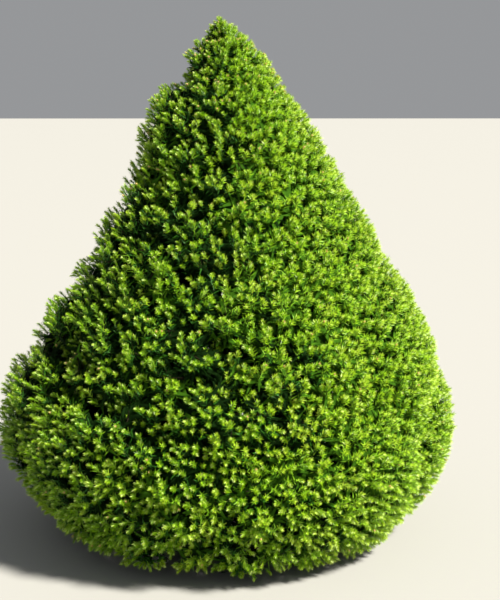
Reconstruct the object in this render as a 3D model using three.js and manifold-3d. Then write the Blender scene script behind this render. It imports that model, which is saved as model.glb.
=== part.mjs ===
// A dwarf conical spruce, grown as a dense cone that reaches the ground: one trunk, the boughs that
// leave it, and masses of foliage round it. Each mass is a core with sprays of needles standing out of
// it. Millimetres, +Z up. The origin is the middle of the trunk's flat cut at ground level, and -Y is
// the front of the tree.
import * as THREE from 'three';
import Module from 'manifold-3d';

const wasm = await Module();
wasm.setup();

// Crown: a straight cone over a rounded belly that draws in towards the ground.
const crownTop = 1948; // ground to the tip of the leader
const spreadRadius = 880; // crown radius at its widest level
const widestLevel = 455;
const footLevel = 34; // the lowest foliage stands this far above the ground
const bellyDepth = 660; // half height of the ellipse that the belly follows
const coneStart = 68; // radius that the cone's straight side would have at the top
const coneSlope = 0.583; // growth of that radius for each millimetre down
const shoulderSharpness = 20; // how tightly the cone turns into the belly
const tipDepth = 95; // the cone's tip is rounded over this height
const swayRight = 36; // the middle of the crown stands this far to the right of the trunk's foot
const tipLean = 20; // the tip leans this far back to the left of the sway
const swayDeep = 12;

// Ledges on the left of the crown, where its masses jut out over the hollows below them.
const ledgeTurn = 180; // degrees
const ledges = [
  { level: 1700, reach: 55, height: 240 },
  { level: 900, reach: 30, height: 120 },
  { level: 640, reach: 70, height: 500 },
];
const ledgeRise = 40; // a ledge starts over this height

// Trunk
const trunkTop = 1680;
const trunkBaseRadius = 46;
const trunkTipRadius = 8;
const taperPower = 0.9;
const flareRadius = 27; // how far the root flare stands out at the ground
const flareHeight = 48; // the flare fades over this height
const flareLobes = 5;
const trunkStations = [0, 30, 75, 140, 300, 560, 860, 1160, 1430, trunkTop];
const trunkSides = 12;

// Masses of foliage: tiers of centres, from the tip down to the skirt.
const tiers = [
  { name: 'tip', masses: 1, level: 1775, share: 0, turn: 0 },
  { name: 'upper', masses: 3, level: 1490, share: 0.56, turn: 32 },
  { name: 'middle', masses: 4, level: 1135, share: 0.6, turn: 48 },
  { name: 'lower', masses: 5, level: 750, share: 0.62, turn: 56 },
  { name: 'skirt', masses: 6, level: 330, share: 0.62, turn: 2 },
];
const levelJitter = 55;
const turnJitter = 9; // degrees
const massGap = 4; // neighbouring masses stay this far apart
const grooveDepth = 0.05; // the crown draws in by this share of its radius between two masses
const grooveWidth = 80;

// Hollow middle of the crown, round the trunk, where the boughs run bare.
const hollowStart = 55;
const hollowShare = 0.25;

// Boughs and the wood inside each mass
const jointGap = 0.3; // clearance between two pieces of wood that meet
const boughEndInset = 30; // a bough ends this far inside the hollow's edge
const boughLeastRadius = 6;
const boughRadiusGain = 12; // added at the widest level
const boughTaper = 0.68;
const boughRise = 0.5; // height gained along a bough, as a share of its run
const boughStagger = 110; // the boughs of a tier leave the trunk over this height
const boughSplice = 24; // a stem goes straight on from its bough over this length
const boughRings = 4;
const boughSides = 5;
const mainTwigs = 7; // main twigs in each mass
const mainSpread = 1.15;
const mainReach = 0.55; // how far they run towards the core's surface
const mainRadius = 6;
const twigRadius = 3; // a spray's own twig where it leaves its main twig
const leaderHub = 1745; // height of the tip mass's branching point

// Sprays
const sprayCount = 330;
const sprayStand = 46; // how far a full spray stands out of its core
const sprayNeck = 0.14; // the needles start this far beyond the core, as a share of the stand
const sprayWidth = 60; // radius of its ring of needles
const sprayNeedles = 3;
const sprayNeckRadius = 6.5;
const smallestSpray = 0.52; // size of the sprays at the tip
const fullSprayRadius = 430; // crown radius from which sprays have their full size
const sprayTilt = 0.32;
const groundClearance = 7;

// Cores
const coreDetail = 2; // subdivision of the icosahedron that each core grows from
const coreUndersideLift = 26;
const coreLumps = 0.05;
const trunkClearance = 6;

const goldenAngle = Math.PI * (3 - Math.sqrt(5));
const seed = 7.31;

const barkColour = new THREE.Color(0.3, 0.22, 0.16);
const woodColour = new THREE.Color(0.34, 0.25, 0.18);
const tierColours = {
  tip: new THREE.Color(0.42, 0.56, 0.14),
  upper: new THREE.Color(0.37, 0.53, 0.12),
  middle: new THREE.Color(0.33, 0.49, 0.11),
  lower: new THREE.Color(0.3, 0.46, 0.1),
  skirt: new THREE.Color(0.26, 0.42, 0.09),
};

// The same number from 0 to 1 for the same two keys, each time.
function seeded(key, kind) {
  const wave = Math.sin(key * 12.9898 + kind * 78.233 + seed) * 43758.5453;
  return wave - Math.floor(wave);
}

function radians(degrees) {
  return (degrees * Math.PI) / 180;
}

// Middle of the trunk and crown at a height.
function middleAt(z) {
  const share = Math.min(Math.max(z / crownTop, 0), 1);
  const x = swayRight * Math.sin(Math.PI * share ** 1.3) - tipLean * share ** 3;
  const y = swayDeep * Math.sin(2 * Math.PI * share);
  return new THREE.Vector3(x, y, z);
}

// Radius of the crown's outline at a height, before the grooves between its masses.
function outlineRadius(z) {
  const drop = Math.max(crownTop - z, 0);
  const cone = coneStart + coneSlope * drop;
  const below = Math.max(widestLevel - z, 0) / bellyDepth;
  const belly = spreadRadius * Math.sqrt(1 - below ** 2);
  const side = (cone ** -shoulderSharpness + belly ** -shoulderSharpness) ** (-1 / shoulderSharpness);
  const tip = Math.min(drop / tipDepth, 1);
  return side * Math.sqrt(1 - (1 - tip) ** 2);
}

function hollowRadius(z) {
  return hollowStart + hollowShare * outlineRadius(z);
}

// Centres of the masses. Each mass keeps to the space that is nearer to its own centre than to others.
function placeMasses() {
  const placed = [];
  for (const tier of tiers) {
    for (let i = 0; i < tier.masses; i++) {
      const key = placed.length;
      const jitter = tier.share ? 1 : 0;
      const level = tier.level + jitter * levelJitter * (2 * seeded(key, 1) - 1);
      const turn = tier.turn + (360 * i) / tier.masses + jitter * turnJitter * (2 * seeded(key, 2) - 1);
      const outwards = new THREE.Vector3(Math.cos(radians(turn)), Math.sin(radians(turn)), 0);
      const centre = middleAt(level).addScaledVector(outwards, tier.share * outlineRadius(level));
      const suffix = tier.masses > 1 ? `_${i + 1}` : '';
      const stagger = boughStagger * (((2 * i) % tier.masses) / tier.masses - 0.4);
      placed.push({ key, tier: tier.name, suffix, outwards, centre, stagger, hub: centre.clone() });
    }
  }
  placed[0].outwards.set(0, 0, 1);
  placed[0].hub = middleAt(leaderHub);
  for (const mass of placed) {
    mass.walls = placed
      .filter((other) => other !== mass)
      .map((other) => {
        const normal = other.centre.clone().sub(mass.centre);
        const middle = other.centre.clone().add(mass.centre).multiplyScalar(0.5);
        normal.normalize();
        return { normal, offset: normal.dot(middle) };
      });
  }
  return placed;
}

const masses = placeMasses();

// Distance from a point to the nearest wall of a mass's space, negative outside it.
function roomInside(mass, point) {
  return Math.min(...mass.walls.map((wall) => wall.offset - wall.normal.dot(point))) - massGap / 2;
}

function massAt(point) {
  return masses.reduce((best, mass) =>
    mass.centre.distanceToSquared(point) < best.centre.distanceToSquared(point) ? mass : best,
  );
}

// How far the crown juts out over the hollows between its ledges.
function ledgeReach(z, turn) {
  const side = Math.max(Math.cos(turn - radians(ledgeTurn)), 0) ** 1.5;
  const reaches = ledges.map((ledge) => {
    const share = z > ledge.level ? (z - ledge.level) / ledgeRise : (ledge.level - z) / ledge.height;
    return ledge.reach * Math.max(1 - share, 0);
  });
  return side * Math.max(...reaches);
}

// Radius of the crown in one direction, drawn in where two masses meet.
function crownRadius(z, turn) {
  const plain = outlineRadius(z);
  const point = middleAt(z).add(new THREE.Vector3(plain * Math.cos(turn), plain * Math.sin(turn), 0));
  const distances = masses.map((mass) => mass.centre.distanceTo(point)).sort((a, b) => a - b);
  const groove = Math.exp(-(((distances[1] - distances[0]) / grooveWidth) ** 2));
  return plain * (1 - grooveDepth * groove) + ledgeReach(z, turn);
}

// Outward direction of the crown's side at a height, for a turn about the trunk.
function outwardAt(z, turn) {
  const step = 12;
  const slope = (outlineRadius(z + step) - outlineRadius(z - step)) / (2 * step);
  return new THREE.Vector3(Math.cos(turn), Math.sin(turn), -slope).normalize();
}

function spraySize(z) {
  return Math.min(1, smallestSpray + ((1 - smallestSpray) * outlineRadius(z)) / fullSprayRadius);
}

// True where a core may be: deeper than the sprays' reach, off the ground and outside the hollow.
function insideCore(mass, point) {
  const middle = middleAt(point.z);
  const turn = Math.atan2(point.y - middle.y, point.x - middle.x);
  const across = Math.hypot(point.x - middle.x, point.y - middle.y);
  if (mass.tier !== 'tip' && across < hollowRadius(point.z)) return false;
  if (point.z < footLevel + coreUndersideLift || point.z > crownTop) return false;
  const reached = point.clone().addScaledVector(outwardAt(point.z, turn), sprayStand * spraySize(point.z));
  if (reached.z > crownTop) return false;
  const middleThere = middleAt(reached.z);
  const acrossThere = Math.hypot(reached.x - middleThere.x, reached.y - middleThere.y);
  return acrossThere < crownRadius(reached.z, turn);
}

// How far a ray from inside a mass runs before it leaves the mass's core.
function coreReach(mass, from, direction) {
  let reach = Infinity;
  for (const wall of mass.walls) {
    const towards = wall.normal.dot(direction);
    if (towards > 1e-6) {
      reach = Math.min(reach, (wall.offset - massGap / 2 - wall.normal.dot(from)) / towards);
    }
  }
  const step = 4;
  let run = step;
  while (run < reach && insideCore(mass, from.clone().addScaledVector(direction, run))) run += step;
  return Math.min(run, reach);
}

// Two unit vectors square to a direction and to each other, in right-handed order.
function squareTo(direction) {
  const helper = Math.abs(direction.z) < 0.9 ? new THREE.Vector3(0, 0, 1) : new THREE.Vector3(1, 0, 0);
  const side = new THREE.Vector3().crossVectors(helper, direction).normalize();
  return [side, new THREE.Vector3().crossVectors(direction, side)];
}

function solid(points, triangles) {
  const vertProperties = new Float32Array(points.flatMap((point) => [point.x, point.y, point.z]));
  const triVerts = new Uint32Array(triangles.flat());
  return new wasm.Manifold(new wasm.Mesh({ numProp: 3, vertProperties, triVerts }));
}

function meshOf(name, made, colour, roughness) {
  const { vertProperties, triVerts } = made.getMesh();
  const geometry = new THREE.BufferGeometry();
  geometry.setAttribute('position', new THREE.BufferAttribute(vertProperties, 3));
  geometry.setIndex(new THREE.BufferAttribute(triVerts, 1));
  geometry.computeVertexNormals();
  const material = new THREE.MeshStandardMaterial({ color: colour, roughness, metalness: 0 });
  const mesh = new THREE.Mesh(geometry, material);
  mesh.name = name;
  return mesh;
}

// A closed limb through rings of points, one ring after the other, with flat ends.
function loft(rings) {
  const sides = rings[0].length;
  const points = rings.flat();
  const triangles = [];
  for (let ring = 0; ring + 1 < rings.length; ring++) {
    for (let side = 0; side < sides; side++) {
      const a = ring * sides + side;
      const b = ring * sides + ((side + 1) % sides);
      triangles.push([a, b, b + sides], [a, b + sides, a + sides]);
    }
  }
  const last = (rings.length - 1) * sides;
  for (let side = 1; side + 1 < sides; side++) {
    triangles.push([0, side + 1, side], [last, last + side, last + side + 1]);
  }
  return solid(points, triangles);
}

// A tapered limb along a line of points. Its ends are square to the line there.
function limb(line, radiusAt, sides) {
  const rings = line.map((point, i) => {
    const before = line[Math.max(i - 1, 0)];
    const after = line[Math.min(i + 1, line.length - 1)];
    const [side, up] = squareTo(after.clone().sub(before).normalize());
    const radius = radiusAt(i / (line.length - 1));
    return Array.from({ length: sides }, (_, k) => {
      const turn = (2 * Math.PI * k) / sides;
      return point
        .clone()
        .addScaledVector(side, radius * Math.cos(turn))
        .addScaledVector(up, radius * Math.sin(turn));
    });
  });
  return loft(rings);
}

function trunkRadius(z, turn) {
  const taper = Math.max(1 - z / trunkTop, 0) ** taperPower;
  const plain = trunkTipRadius + (trunkBaseRadius - trunkTipRadius) * taper;
  const roots = 1 + 0.45 * Math.cos(flareLobes * turn + 0.8);
  const flare = flareRadius * Math.exp(-z / flareHeight) * roots;
  return plain * (1 + 0.035 * Math.cos(3 * turn + z / 210)) + flare;
}

// The trunk, or with extra the space that other pieces keep clear of.
function trunkSolid(extra) {
  const rings = trunkStations.map((z) => {
    const level = z === trunkTop ? z + extra : z;
    return Array.from({ length: trunkSides }, (_, k) => {
      const turn = (2 * Math.PI * k) / trunkSides;
      const radius = trunkRadius(z, turn) + extra;
      const middle = middleAt(z);
      return new THREE.Vector3(middle.x + radius * Math.cos(turn), middle.y + radius * Math.sin(turn), level);
    });
  });
  return loft(rings);
}

// A bough leaves the trunk low, curves up and ends inside the hollow, pointing at its mass's hub.
function boughLine(mass) {
  const endRadius = hollowRadius(mass.centre.z) - boughEndInset;
  const end = middleAt(mass.centre.z - 0.3 * endRadius).addScaledVector(mass.outwards, endRadius);
  const start = middleAt(end.z - boughRise * endRadius + mass.stagger);
  const aim = mass.hub.clone().sub(end).normalize();
  const bend = end.clone().addScaledVector(aim, -0.45 * endRadius);
  return new THREE.QuadraticBezierCurve3(start, bend, end).getPoints(boughRings);
}

function boughRadius(mass) {
  return boughLeastRadius + (boughRadiusGain * outlineRadius(mass.centre.z)) / spreadRadius;
}

// The stem that carries a mass: it goes on from its bough's tip, or the trunk's, to the mass's hub.
function stemOf(mass) {
  const atTip = mass.tier === 'tip';
  const before = atTip ? [middleAt(0), middleAt(trunkTop)] : boughLine(mass).slice(-2);
  const along = atTip ? new THREE.Vector3(0, 0, 1) : before[1].clone().sub(before[0]).normalize();
  const start = before[1].clone().addScaledVector(along, jointGap);
  const splice = before[1].clone().addScaledVector(along, boughSplice);
  const radius = atTip ? trunkTipRadius : boughTaper * boughRadius(mass);
  return { line: [start, splice, mass.hub], radius };
}

// Ends of the main twigs, which fan out from the stem over the mass.
function mainEnds(mass) {
  const lifted = mass.outwards.clone().add(new THREE.Vector3(0, 0, 0.45)).normalize();
  const [side, up] = squareTo(lifted);
  return Array.from({ length: mainTwigs }, (_, k) => {
    const turn = k * goldenAngle + 2 * Math.PI * seeded(mass.key, 3);
    const spread = mainSpread * Math.sqrt((k + 0.5) / mainTwigs);
    const direction = lifted
      .clone()
      .addScaledVector(side, spread * Math.cos(turn))
      .addScaledVector(up, spread * Math.sin(turn))
      .normalize();
    return mass.hub.clone().addScaledVector(direction, mainReach * coreReach(mass, mass.hub, direction));
  });
}

// Heights that share the crown's side out into equal areas, from the foot to the top.
function equalAreaHeights(count) {
  const step = 4;
  const heights = [footLevel];
  const areas = [0];
  for (let z = footLevel; z < crownTop; z += step) {
    const next = Math.min(z + step, crownTop);
    const slant = Math.hypot(next - z, outlineRadius(next) - outlineRadius(z));
    heights.push(next);
    areas.push(areas.at(-1) + (slant * (outlineRadius(next) + outlineRadius(z))) / 2);
  }
  let place = 1;
  return Array.from({ length: count }, (_, k) => {
    const wanted = (areas.at(-1) * (k + 0.5)) / count;
    while (areas[place] < wanted) place++;
    const part = (wanted - areas[place - 1]) / (areas[place] - areas[place - 1]);
    return heights[place - 1] + part * (heights[place] - heights[place - 1]);
  });
}

// Where each spray ends on the crown's surface, and the way that it points.
function placeSprays() {
  const sprays = equalAreaHeights(sprayCount).map((z, key) => {
    const turn = key * goldenAngle;
    const radius = crownRadius(z, turn);
    const end = middleAt(z).add(new THREE.Vector3(radius * Math.cos(turn), radius * Math.sin(turn), 0));
    const mass = massAt(end);
    for (const wall of mass.walls) {
      const short = wall.normal.dot(end) - wall.offset + 0.4 * sprayWidth * spraySize(z);
      if (short > 0) end.addScaledVector(wall.normal, -short);
    }
    const fromHub = end.clone().sub(mass.hub).normalize();
    const [side, up] = squareTo(fromHub);
    const direction = outwardAt(z, turn)
      .add(fromHub)
      .normalize()
      .addScaledVector(side, sprayTilt * (2 * seeded(key, 4) - 1))
      .addScaledVector(up, sprayTilt * (2 * seeded(key, 5) - 1))
      .normalize();
    return { key, mass, end, direction, size: spraySize(z) * (0.88 + 0.24 * seeded(key, 6)) };
  });
  const leader = { key: sprayCount, mass: masses[0], end: middleAt(crownTop), size: smallestSpray * 1.15 };
  sprays.push({ ...leader, direction: new THREE.Vector3(0, 0, 1) });
  return sprays;
}

// One spray: a three-sided twig that grows from the nearest main twig, opens into a ring of pointed
// needles and closes to its own tip.
function sprayPoints(spray, mains, widthShare) {
  const stand = sprayStand * spray.size;
  const width = sprayWidth * spray.size * widthShare;
  const [side, up] = squareTo(spray.direction);
  const around = (turn, radius, height) =>
    spray.end
      .clone()
      .addScaledVector(spray.direction, height - stand)
      .addScaledVector(side, radius * Math.cos(turn))
      .addScaledVector(up, radius * Math.sin(turn));
  const start = 2 * Math.PI * seeded(spray.key, 7);
  const thirds = [0, 1, 2].map((k) => start + (2 * Math.PI * k) / 3);
  const collar = thirds.map((turn) => around(turn, sprayNeckRadius * spray.size, sprayNeck * stand));
  const foot = around(0, 0, sprayNeck * stand);
  const origin = mains.reduce((a, b) => (b.distanceTo(foot) < a.distanceTo(foot) ? b : a));
  const root = thirds.map((turn) =>
    around(turn, twigRadius, sprayNeck * stand).sub(foot).add(origin),
  );
  const ring = Array.from({ length: 2 * sprayNeedles }, (_, k) => {
    const turn = start + (Math.PI * k) / sprayNeedles;
    const reach = stand * (0.5 + 0.22 * seeded(spray.key, 10 + k));
    return k % 2 === 0 ? around(turn, width, reach) : around(turn, 0.4 * width, reach - 0.22 * stand);
  });
  return [...root, ...collar, ...ring, spray.end];
}

function spraySolid(points) {
  const teeth = 2 * sprayNeedles;
  const tip = 6 + teeth;
  const collarOf = (k) => 3 + Math.floor(((k % teeth) * 3) / teeth);
  const triangles = [[0, 2, 1]];
  for (let k = 0; k < 3; k++) {
    const next = (k + 1) % 3;
    triangles.push([k, next, 3 + next], [k, 3 + next, 3 + k]);
  }
  for (let k = 0; k < teeth; k++) {
    const here = 6 + k;
    const next = 6 + ((k + 1) % teeth);
    triangles.push([collarOf(k), next, here], [here, next, tip]);
    if (collarOf(k) !== collarOf(k + 1)) triangles.push([collarOf(k), collarOf(k + 1), next]);
  }
  return solid(points, triangles);
}

// A spray made narrower until it keeps to its mass's space and off the ground, or nothing.
function fittedSpray(spray, mains) {
  for (const widthShare of [1, 0.75, 0.5]) {
    const points = sprayPoints(spray, mains, widthShare);
    const fits = points.every((point) => point.z > groundClearance && roomInside(spray.mass, point) > 0);
    if (fits) return spraySolid(points);
  }
  return null;
}

// The dense middle of a mass: a ball that swells until it meets its space's walls and the sprays' roots.
function coreSolid(mass) {
  const ball = new THREE.IcosahedronGeometry(1, coreDetail).getAttribute('position');
  const corners = new Map();
  const points = [];
  const order = [];
  for (let i = 0; i < ball.count; i++) {
    const direction = new THREE.Vector3().fromBufferAttribute(ball, i).normalize();
    const label = direction.toArray().map((value) => Math.round(value * 1e4)).join();
    if (!corners.has(label)) {
      corners.set(label, points.length);
      const lump = 1 - coreLumps * seeded(mass.key * 100 + points.length, 8);
      const reach = lump * coreReach(mass, mass.centre, direction);
      points.push(mass.centre.clone().addScaledVector(direction, reach));
    }
    order.push(corners.get(label));
  }
  const triangles = Array.from({ length: order.length / 3 }, (_, k) => order.slice(3 * k, 3 * k + 3));
  return solid(points, triangles);
}

// A mass: its core and sprays, the main twigs that carry them and the stem that carries those.
function massSolid(mass, allSprays, trunkSpace) {
  const stem = stemOf(mass);
  const fork = stem.line[1].clone().lerp(mass.hub, 0.75);
  const ends = mainEnds(mass);
  const mains = ends.map((end) => limb([fork, end], (share) => mainRadius * (1 - 0.3 * share), 3));
  const shoots = allSprays
    .filter((spray) => spray.mass === mass)
    .map((spray) => fittedSpray(spray, ends))
    .filter((shoot) => shoot);
  const stemLimb = limb(stem.line, (share) => stem.radius * (1 - 0.3 * share), boughSides);
  let body = wasm.Manifold.union([coreSolid(mass), ...mains]);
  if (mass.tier === 'tip') body = body.subtract(trunkSpace);
  return wasm.Manifold.union([body, stemLimb, ...shoots]);
}

function build() {
  const tree = new THREE.Group();
  tree.add(meshOf('trunk', trunkSolid(0), barkColour, 0.9));
  const trunkWithGap = trunkSolid(jointGap);
  const sprays = placeSprays();
  for (const mass of masses) {
    if (mass.tier !== 'tip') {
      const base = boughRadius(mass);
      const bough = limb(boughLine(mass), (share) => base * (1 - (1 - boughTaper) * share), boughSides);
      tree.add(meshOf(`bough_${mass.tier}${mass.suffix}`, bough.subtract(trunkWithGap), woodColour, 0.85));
    }
    const foliage = massSolid(mass, sprays, trunkSolid(trunkClearance));
    tree.add(meshOf(`foliage_${mass.tier}${mass.suffix}`, foliage, tierColours[mass.tier], 0.6));
  }
  return tree;
}

export default build();
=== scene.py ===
import bpy
import math
import numpy as np
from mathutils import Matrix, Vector, noise


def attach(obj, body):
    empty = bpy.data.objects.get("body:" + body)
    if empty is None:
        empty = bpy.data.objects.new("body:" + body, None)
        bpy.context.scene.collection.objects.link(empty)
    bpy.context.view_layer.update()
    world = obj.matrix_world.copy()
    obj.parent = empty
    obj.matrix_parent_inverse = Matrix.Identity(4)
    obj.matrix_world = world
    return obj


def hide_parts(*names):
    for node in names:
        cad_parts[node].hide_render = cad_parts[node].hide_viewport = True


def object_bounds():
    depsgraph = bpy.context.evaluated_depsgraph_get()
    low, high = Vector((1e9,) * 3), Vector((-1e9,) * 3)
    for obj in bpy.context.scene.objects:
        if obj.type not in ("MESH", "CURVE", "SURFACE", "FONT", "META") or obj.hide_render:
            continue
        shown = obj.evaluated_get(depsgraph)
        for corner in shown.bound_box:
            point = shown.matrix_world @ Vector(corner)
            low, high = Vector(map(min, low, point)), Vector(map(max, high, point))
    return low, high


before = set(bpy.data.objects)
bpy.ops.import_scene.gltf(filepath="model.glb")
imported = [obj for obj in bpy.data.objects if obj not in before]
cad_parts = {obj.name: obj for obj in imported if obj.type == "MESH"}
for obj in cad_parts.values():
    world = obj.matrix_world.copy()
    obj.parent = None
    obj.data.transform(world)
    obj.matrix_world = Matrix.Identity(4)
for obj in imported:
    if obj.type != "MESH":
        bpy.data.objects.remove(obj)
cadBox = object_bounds()
scene = bpy.context.scene
print("frame loaded:", len(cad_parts), "nodes")

goldenAngle = math.pi * (3 - math.sqrt(5))
upwards = np.array([0, 0, 1.0])


# Camera: at eye height in front of the trunk, turned down to the crown and a little to the right.
camera = {
    "eyeHeight": 1.6,
    "distance": 4.0,
    "imageWidth": 500,
    "imageHeight": 600,
    "focalPixels": 1048,
    "horizonRow": 110,  # row of the image that lies level with the eye
    "trunkColumn": 226,  # column of the image on which the trunk stands
    "sensor": 36.0,
    "farthest": 400,
}


def makeCamera():
    data = bpy.data.cameras.new("camera")
    data.sensor_width = camera["sensor"]
    data.lens = camera["focalPixels"] * camera["sensor"] / camera["imageHeight"]
    data.clip_end = camera["farthest"]
    eye = bpy.data.objects.new("camera", data)
    scene.collection.objects.link(eye)
    down = math.atan((camera["imageHeight"] / 2 - camera["horizonRow"]) / camera["focalPixels"])
    right = math.atan((camera["imageWidth"] / 2 - camera["trunkColumn"]) / camera["focalPixels"])
    eye.location = (0, -camera["distance"], camera["eyeHeight"])
    eye.rotation_euler = (math.pi / 2 - down, 0, -right)
    scene.camera = eye


makeCamera()


# Shader maths: a socket in a small wrapper, so that an expression on values adds its own nodes.
class Wire:
    def __init__(self, kit, socket):
        self.kit, self.socket = kit, socket

    def maths(self, operation, first, second):
        return self.kit.node("ShaderNodeMath", {"operation": operation}, {0: first, 1: second})

    def __add__(self, other):
        return self.maths("ADD", self, other)

    __radd__ = __add__

    def __mul__(self, other):
        return self.maths("MULTIPLY", self, other)

    __rmul__ = __mul__

    def __sub__(self, other):
        return self.maths("SUBTRACT", self, other)

    def __rsub__(self, other):
        return self.maths("SUBTRACT", other, self)


# A material and the means to fill it: node() adds any node from its type, settings and inputs.
class Finish:
    def __init__(self, name):
        self.material = bpy.data.materials.new(name)
        self.material.use_nodes = True
        self.tree = self.material.node_tree
        self.shader = self.tree.nodes["Principled BSDF"]

    def node(self, kind, settings, inputs, output=0):
        made = self.tree.nodes.new(kind)
        for name, value in settings.items():
            setattr(made, name, value)
        for name, value in inputs.items():
            self.feed(made.inputs[name], value)
        return Wire(self, made.outputs[output])

    def feed(self, socket, value):
        if isinstance(value, Wire):
            self.tree.links.new(value.socket, socket)
        else:
            socket.default_value = value

    def surface(self, **inputs):
        for name, value in inputs.items():
            self.feed(self.shader.inputs[name.replace("_", " ")], value)
        return self.material


# Crown: a straight cone over a rounded belly, as in the solids, in metres.
crown = {
    "top": 1.948,
    "spread": 0.88,
    "widest": 0.455,
    "foot": 0.034,
    "bellyDepth": 0.66,
    "leastBelly": 0.01,  # keeps the crown from closing far below the belly
    "coneStart": 0.068,
    "coneSlope": 0.583,
    "sharpness": 20,  # of the turn from the cone to the belly
    "tipDepth": 0.095,
    "swayRight": 0.036,
    "swayPower": 1.3,
    "tipLean": 0.02,
    "leanPower": 3,
    "swayDeep": 0.012,
    "hollowStart": 0.055,
    "hollowShare": 0.25,
    "ledgeTurn": 180,  # the ledges are on the left
    "ledgePower": 1.5,  # higher for ledges that run less far round
    "ledges": [(1.672, 0.055, 0.22), (0.9, 0.03, 0.12), (0.64, 0.07, 0.5)],  # level, reach, and height below
    "ledgeRise": 0.04,
    "crowded": (1.3, 0.35),  # tufts stand closer from this level up, and closest this far above it
}
massRule = {
    "tiers": [
        {"name": "tip", "masses": 1, "level": 1.775, "share": 0, "turn": 0},
        {"name": "upper", "masses": 3, "level": 1.49, "share": 0.56, "turn": 32},
        {"name": "middle", "masses": 4, "level": 1.135, "share": 0.6, "turn": 48},
        {"name": "lower", "masses": 5, "level": 0.75, "share": 0.62, "turn": 56},
        {"name": "skirt", "masses": 6, "level": 0.33, "share": 0.62, "turn": 2},
    ],
    "levelJitter": 0.055,
    "turnJitter": 9,
    "gap": 0.004,
    "grooveDepth": 0.05,
    "grooveWidth": 0.08,
    "coreUndersideLift": 0.026,
    "leaderHub": 1.745,
    "boughStagger": 0.11,
    "staggerMiddle": 0.4,
}
sprayRule = {
    "count": 330,
    "stand": 0.046,
    "neck": 0.14,
    "width": 0.06,
    "clearance": 0.4,  # from the gaps between masses, as a share of the width
    "smallest": 0.52,
    "fullRadius": 0.43,
    "sizes": (0.88, 0.24),  # the least, and the spread above it
    "leaderSize": 1.15,
    "tilt": 0.32,
    "mainTwigs": 7,
    "mainLift": 0.45,
    "mainSpread": 1.15,
    "mainReach": 0.55,
}


draws = {"byKey": 12.9898, "byKind": 78.233, "steepness": 43758.5453, "seed": 7.31}


# The same number from 0 to 1 for the same two keys, each time: the last digits of a steep wave.
def seeded(key, kind):
    wave = np.sin(np.asarray(key, float) * draws["byKey"] + kind * draws["byKind"] + draws["seed"])
    wave = wave * draws["steepness"]
    return wave - np.floor(wave)


def signed(key, kind):
    return 2 * seeded(key, kind) - 1


# A number for each key, from the least up; the pair has the least and the spread.
def varied(pair, key, kind):
    return pair[0] + pair[1] * seeded(key, kind)


# From 0 to 1 over a stretch; the pair has its start and its length.
def rising(x, pair):
    return np.clip((x - pair[0]) / pair[1], 0, 1)


def unit(vectors):
    return vectors / np.linalg.norm(vectors, axis=-1, keepdims=True)


# Two unit vectors square to each direction and to each other, in right-handed order.
def squareTo(directions):
    steep = np.abs(directions[..., 2:3]) >= 0.9  # too near to upright to be crossed with it
    helper = np.where(steep, [1.0, 0.0, 0.0], upwards)
    side = unit(np.cross(helper, directions))
    return side, np.cross(directions, side)


# The unit vector square to each direction that the turn round it gives.
def squareAt(directions, turn):
    side, up = squareTo(directions)
    return side * np.cos(turn)[..., None] + up * np.sin(turn)[..., None]


# Each direction tipped over by an angle, to the side that the turn round it gives.
def tipped(directions, turn, angle):
    return directions * np.cos(angle)[..., None] + squareAt(directions, turn) * np.sin(angle)[..., None]


def middleAt(z):
    share = np.clip(np.asarray(z, float) / crown["top"], 0, 1)
    sway = crown["swayRight"] * np.sin(np.pi * share ** crown["swayPower"])
    x = sway - crown["tipLean"] * share ** crown["leanPower"]
    y = crown["swayDeep"] * np.sin(2 * np.pi * share)
    return np.stack([x, y, np.asarray(z, float) + 0 * x], axis=-1)


def outlineRadius(z):
    drop = np.maximum(crown["top"] - np.asarray(z, float), 0)
    cone = crown["coneStart"] + crown["coneSlope"] * drop
    below = np.maximum(crown["widest"] - np.asarray(z, float), 0) / crown["bellyDepth"]
    belly = crown["spread"] * np.sqrt(np.maximum(1 - below ** 2, crown["leastBelly"]))
    sharp = crown["sharpness"]
    side = (cone ** -sharp + belly ** -sharp) ** (-1 / sharp)
    tip = np.minimum(drop / crown["tipDepth"], 1)
    return side * np.sqrt(1 - (1 - tip) ** 2)


def hollowRadius(z):
    return crown["hollowStart"] + crown["hollowShare"] * outlineRadius(z)


def outwards(turn):
    turn = np.asarray(turn, float)
    return np.stack([np.cos(turn), np.sin(turn), 0 * turn], axis=-1)


# The turn round the stem of points at the heights z, and how far from it they lie.
def roundStem(points, z):
    middle = middleAt(z)
    right, deep = points[..., 0] - middle[..., 0], points[..., 1] - middle[..., 1]
    return np.arctan2(deep, right), np.hypot(right, deep)


# The masses of foliage: each keeps to the space that is nearer to its own centre than to others.
def placeMasses():
    placed = []
    for tier in massRule["tiers"]:
        for i in range(tier["masses"]):
            key = len(placed)
            jitter = 1 if tier["share"] else 0
            level = tier["level"] + jitter * massRule["levelJitter"] * float(signed(key, 1))
            turn = tier["turn"] + 360 * i / tier["masses"]
            turn = math.radians(turn + jitter * massRule["turnJitter"] * float(signed(key, 2)))
            way = outwards(turn)
            centre = middleAt(level) + tier["share"] * float(outlineRadius(level)) * way
            suffix = f"_{i + 1}" if tier["masses"] > 1 else ""
            share = (2 * i) % tier["masses"] / tier["masses"]
            stagger = massRule["boughStagger"] * (share - massRule["staggerMiddle"])
            placed.append({"key": key, "tier": tier["name"], "name": tier["name"] + suffix, "way": way,
                           "centre": centre, "hub": centre, "stagger": stagger})
    placed[0]["way"] = upwards
    placed[0]["hub"] = middleAt(massRule["leaderHub"])
    return placed


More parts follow.
